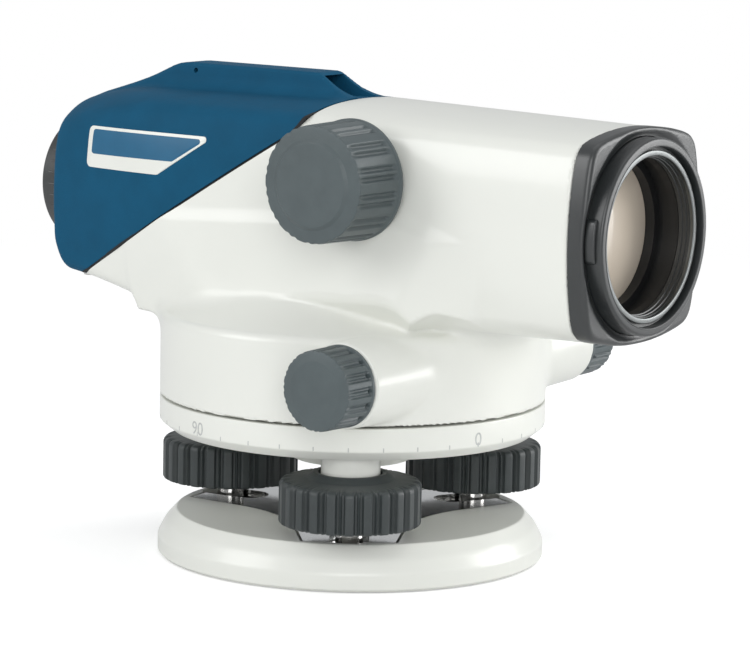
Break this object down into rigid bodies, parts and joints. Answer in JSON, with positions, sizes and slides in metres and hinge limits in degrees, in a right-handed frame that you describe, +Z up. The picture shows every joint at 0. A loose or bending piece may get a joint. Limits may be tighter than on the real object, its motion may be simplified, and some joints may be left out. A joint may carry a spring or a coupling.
{
  "type": "automatic level",
  "caption": "Surveying level on a levelling base with foot screws, turning drum with fine-motion drive, focusing telescope, pendulum compensator and adjustable eyepiece",
  "frame": {"origin": "middle of the base's underside, at the mouth of the tapped tripod hole", "axes": "+X towards the objective along the line of sight, +Y to the far side away from the focus knob, +Z up the vertical axis"},
  "size_m": [0.2089, 0.1334, 0.14],
  "materials": {
    "white_paint": "smooth satin off-white paint on a casting",
    "blue_shell": "fine-textured dark blue moulding",
    "grey_grip": "satin mid-grey moulding",
    "dark_grip": "satin dark grey moulding",
    "black_trim": "satin black moulding",
    "soft_black": "soft black rubber",
    "black_metal": "black anodised",
    "steel": "bright turned steel",
    "brass": "turned brass",
    "light_alloy": "machined light alloy",
    "coated_glass": "polished lens with a warm coating",
    "clear_glass": "clear optical glass"
  },
  "bodies": {
    "base": {"base_plate": "white_paint", "spring_plate": "steel", "spring_plate_screws": "steel"},
    "foot_screw_1": {"foot_knob_1": "dark_grip", "foot_spindle_1": "steel"},
    "foot_screw_2": {"foot_knob_2": "dark_grip", "foot_spindle_2": "steel"},
    "foot_screw_3": {"foot_knob_3": "dark_grip", "foot_spindle_3": "steel"},
    "head": {"levelling_head": "white_paint", "foot_nuts": "brass", "axis_bush": "brass", "clutch_washer": "steel"},
    "circle": {"horizontal_circle": "white_paint"},
    "clutch_wheel": {"worm_wheel": "brass"},
    "alidade": {"main_housing": "white_paint", "eyepiece_hood": "blue_shell", "hood_seal": "soft_black", "hood_screws": "steel", "drum_cover": "black_trim", "drum_cover_screws": "steel", "axis_spindle": "steel", "spindle_screws": "steel", "objective_bezel": "black_trim", "objective_ring": "black_trim", "objective_cell": "black_metal", "objective_crown_lens": "coated_glass", "objective_flint_lens": "coated_glass", "lens_retainer": "black_metal", "focus_guide": "black_metal", "focus_bush": "brass", "compensator_frame": "black_metal", "fixed_prisms": "clear_glass", "damper_magnets": "steel", "suspension_tapes": "steel", "reticle_cell": "brass", "reticle_plate": "clear_glass", "eyepiece_sleeve": "black_metal", "worm_bushes": "brass", "level_cell": "white_paint", "level_vial": "clear_glass", "level_screws": "steel", "level_prism": "clear_glass", "prism_holder": "white_paint"},
    "fine_drive": {"worm_shaft": "steel", "fine_knob_right": "grey_grip", "fine_knob_left": "grey_grip"},
    "focus_drive": {"focus_knob": "grey_grip", "focus_knob_cap": "grey_grip", "focus_shaft": "steel"},
    "focus_carrier": {"focus_carriage": "black_metal", "focus_rack": "brass", "focus_lens": "clear_glass"},
    "diopter_ring": {"eyepiece_ring": "black_trim", "eyecup": "soft_black"},
    "ocular": {"ocular_cell": "black_metal", "ocular_lenses": "clear_glass"},
    "swinging_frame": {"pendulum": "light_alloy", "pendulum_prism": "clear_glass"}
  },
  "joints": [
    {"name": "foot_turn_1", "type": "hinge", "parent": "base", "child": "foot_screw_1", "pos_m": [0.02463, -0.03377, 0.012], "axis": [0, 0, 1], "range_deg": [-1441, 1441]},
    {"name": "foot_turn_2", "type": "hinge", "parent": "base", "child": "foot_screw_2", "pos_m": [0.01693, 0.03822, 0.012], "axis": [0, 0, 1], "range_deg": [-1441, 1441]},
    {"name": "foot_turn_3", "type": "hinge", "parent": "base", "child": "foot_screw_3", "pos_m": [-0.04156, -0.00444, 0.012], "axis": [0, 0, 1], "range_deg": [-1441, 1441]},
    {"name": "head_lift", "type": "slide", "parent": "base", "child": "head", "axis": [0, 0, 1], "range_m": [-0.003, 0.003]},
    {"name": "circle_turn", "type": "hinge", "parent": "head", "child": "circle", "pos_m": [0, 0, 0.0416], "axis": [0, 0, 1], "continuous": true},
    {"name": "coarse_turn", "type": "hinge", "parent": "head", "child": "clutch_wheel", "pos_m": [0, 0, 0.0599], "axis": [0, 0, 1], "continuous": true},
    {"name": "worm_turn", "type": "hinge", "parent": "alidade", "child": "fine_drive", "pos_m": [0.0364, 0, 0.0599], "axis": [0, 1, 0], "continuous": true},
    {"name": "fine_turn", "type": "hinge", "parent": "clutch_wheel", "child": "alidade", "pos_m": [0, 0, 0.0599], "axis": [0, 0, 1], "continuous": true},
    {"name": "focus_turn", "type": "hinge", "parent": "alidade", "child": "focus_drive", "pos_m": [0.0232, -0.0424, 0.1138], "axis": [0, 1, 0], "range_deg": [-225, 225]},
    {"name": "focus_slide", "type": "slide", "parent": "alidade", "child": "focus_carrier", "axis": [1, 0, 0], "range_m": [-0.01175, 0.01175]},
    {"name": "diopter_turn", "type": "hinge", "parent": "alidade", "child": "diopter_ring", "pos_m": [-0.101, 0, 0.1017], "axis": [1, 0, 0], "range_deg": [-150, 150]},
    {"name": "ocular_slide", "type": "slide", "parent": "alidade", "child": "ocular", "axis": [1, 0, 0], "range_m": [-0.00165, 0.00165]},
    {"name": "compensator_swing", "type": "hinge", "parent": "alidade", "child": "swinging_frame", "pos_m": [-0.036, 0, 0.12], "axis": [0, 1, 0], "range_deg": [-0.5, 0.5]}
  ],
  "couplings": [
    {"joint": "foot_turn_1", "follows": "head_lift", "rad_per_m": -8377.6},
    {"joint": "foot_turn_2", "follows": "head_lift", "rad_per_m": -8377.6},
    {"joint": "foot_turn_3", "follows": "head_lift", "rad_per_m": -8377.6},
    {"joint": "worm_turn", "follows": "fine_turn", "ratio": 90},
    {"joint": "focus_turn", "follows": "focus_slide", "rad_per_m": -333.33},
    {"joint": "diopter_turn", "follows": "ocular_slide", "rad_per_m": 1570.8}
  ]
}
